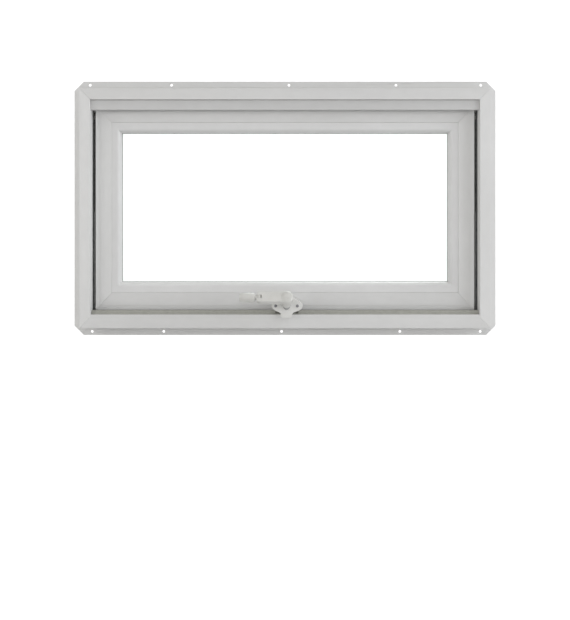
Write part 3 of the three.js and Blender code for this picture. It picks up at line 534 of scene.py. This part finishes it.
# hooded covers over the sill's drain slots
DRAIN_X = 250
HOOD_HALF = 15
HOOD = [(36.05, 1), (37.2, 1), (38.4, 2.6), (38.6, 7), (38, 9.6), (37, 10.6), (36.05, 10.6)]
NOTCH = [(36.8, -1), (39, -1), (39, 2.4), (36.8, 4.4)]
NOTCH_HALF = 4.2
NOTCH_STEP = 9
HOOD_EDGE = 0.3  # rounding of its edges
for side, x in (("left", -DRAIN_X), ("right", DRAIN_X)):
    name = f"drain_cover_{side}"
    hood = extrusion(name, HOOD, x - HOOD_HALF, x + HOOD_HALF)
    notches = [extrusion("notch", NOTCH, at - NOTCH_HALF, at + NOTCH_HALF)
               for at in (x - NOTCH_STEP, x, x + NOTCH_STEP)]
    cover = piece(name, carved(hood, *notches), finishes["vinyl", "x"], "frame")
    edge = cover.modifiers.new("bevel", "BEVEL")
    edge.width = HOOD_EDGE * MM
    edge.segments = 2
    edge.limit_method = "ANGLE"
    cover.data.shade_smooth()

# ------------------------------------------------------------------------ floor and lights

WHITE = 1.2  # emission of the backdrop, bright enough to show as plain white
FLOOR_LIFT = 0.72  # emission added to the floor, where the camera sees it
FLOOR_FADE = (0.3, 1.0)  # the floor fades into the backdrop between these distances
FLOOR_HALF = 30.0
FLOOR_MIRRORED = 0.7  # how much of the floor's lifted look shows in mirrors
FLOOR_DROP = 0.32  # the window hangs as it does in a wall, clear of the floor


def stage_floor(height):
    """A pale seamless floor that fades into the white background."""
    mesh = bpy.data.meshes.new("floor")
    corners = [(sx * FLOOR_HALF, sy * FLOOR_HALF, height)
               for sx, sy in ((-1, -1), (1, -1), (1, 1), (-1, 1))]
    mesh.from_pydata(corners, [], [(0, 1, 2, 3)])
    floor = bpy.data.objects.new("floor", mesh)
    scene.collection.objects.link(floor)
    f = Finish("floor", Roughness=0.9, Specular_IOR_Level=0.1)
    grey = f.ramp(f.noise(3, detail=4), [(0.3, (0.66, 0.66, 0.66)), (0.7, (0.69, 0.69, 0.69))])
    f.tree.links.new(grey, f.shader.inputs["Base Color"])
    flat = f.node("ShaderNodeVectorMath", {0: f.place, 1: (1, 1, 0)}, operation="MULTIPLY")
    away = f.node("ShaderNodeVectorMath", {0: flat.outputs[0]}, operation="LENGTH")
    fade = f.node("ShaderNodeMapRange", {
        "Value": away.outputs["Value"], "From Min": FLOOR_FADE[0], "From Max": FLOOR_FADE[1],
        "To Min": 0.0, "To Max": 1.0}, interpolation_type="SMOOTHSTEP")
    glow = f.node("ShaderNodeEmission", {"Color": (1, 1, 1, 1), "Strength": WHITE})
    lift = f.node("ShaderNodeEmission", {"Color": (1, 1, 1, 1), "Strength": FLOOR_LIFT})
    near = f.node("ShaderNodeAddShader", {0: f.shader.outputs[0], 1: lift.outputs[0]})
    white = f.mix(fade.outputs[0], near, glow)
    path = f.node("ShaderNodeLightPath").outputs
    mirrored = f.maths("MULTIPLY", path["Is Glossy Ray"], FLOOR_MIRRORED)
    seen = f.maths("MAXIMUM", path["Is Camera Ray"], mirrored)
    f.surface(f.mix(seen, f.shader, white))
    mesh.materials.append(f.material)


def area_light(name, location, size, power, colour):
    """A soft box aimed at the middle of the window."""
    data = bpy.data.lights.new(name, "AREA")
    data.shape = "RECTANGLE"
    data.size, data.size_y = size
    data.energy = power
    data.color = colour
    light = bpy.data.objects.new(name, data)
    light.location = location
    aim = Vector(WINDOW_MIDDLE) - Vector(location)
    light.rotation_euler = aim.to_track_quat("-Z", "Y").to_euler()
    scene.collection.objects.link(light)


world = bpy.data.worlds.new("studio")
world.use_nodes = True
scene.world = world
nodes, links = world.node_tree.nodes, world.node_tree.links


def background(shader, colour, strength):
    shader.inputs["Color"].default_value = (*colour, 1)
    shader.inputs["Strength"].default_value = strength
    return shader


def either(choice, off, on):
    made = nodes.new("ShaderNodeMixShader")
    for socket, source in enumerate((choice, off.outputs[0], on.outputs[0])):
        links.new(source, made.inputs[socket])
    return made


room = background(nodes["Background"], (1.0, 0.99, 0.975), 0.36)
walls = background(nodes.new("ShaderNodeBackground"), (1, 1, 1), 0.8)
backdrop = background(nodes.new("ShaderNodeBackground"), (1, 1, 1), WHITE)
path = nodes.new("ShaderNodeLightPath").outputs
lit = either(path["Is Glossy Ray"], room, walls)
shown = either(path["Is Camera Ray"], lit, backdrop)
links.new(shown.outputs[0], nodes["World Output"].inputs["Surface"])

stage_floor(cad_box[0].z - FLOOR_DROP)
WINDOW_MIDDLE = (0, 0, 0.24)
area_light("overhead", (0.5, -1.6, 3.6), (2.4, 1.8), 16, (0.98, 0.985, 1.0))
area_light("left", (-2.8, -1.6, 0.9), (2.0, 1.8), 28, (1.0, 0.99, 0.975))
area_light("right", (3.1, -1.15, 0.9), (2.0, 1.8), 53, (0.95, 0.97, 1.0))
area_light("front", (0, -4.0, 1.0), (2.4, 2.0), 11, (1.0, 1.0, 1.0))
area_light("outdoors", (0.9, 3.2, 2.4), (2.4, 2.0), 60, (1.0, 1.0, 1.0))

# ---------------------------------------------------------------------------------- camera

ROOM_FACE_Y = -0.036
CAMERA_DISTANCE = 1.55  # from the frame's room face
CAMERA_HEIGHT = 0.237  # the middle of the frame
camera_data = bpy.data.cameras.new("camera")
camera_data.sensor_width = 36
camera_data.lens = 45.5
camera_data.shift_y = -0.164  # the window stands high in the picture
camera = bpy.data.objects.new("camera", camera_data)
camera.location = (0, ROOM_FACE_Y - CAMERA_DISTANCE, CAMERA_HEIGHT)
camera.rotation_euler = (math.pi / 2, 0, 0)
scene.collection.objects.link(camera)
scene.camera = camera
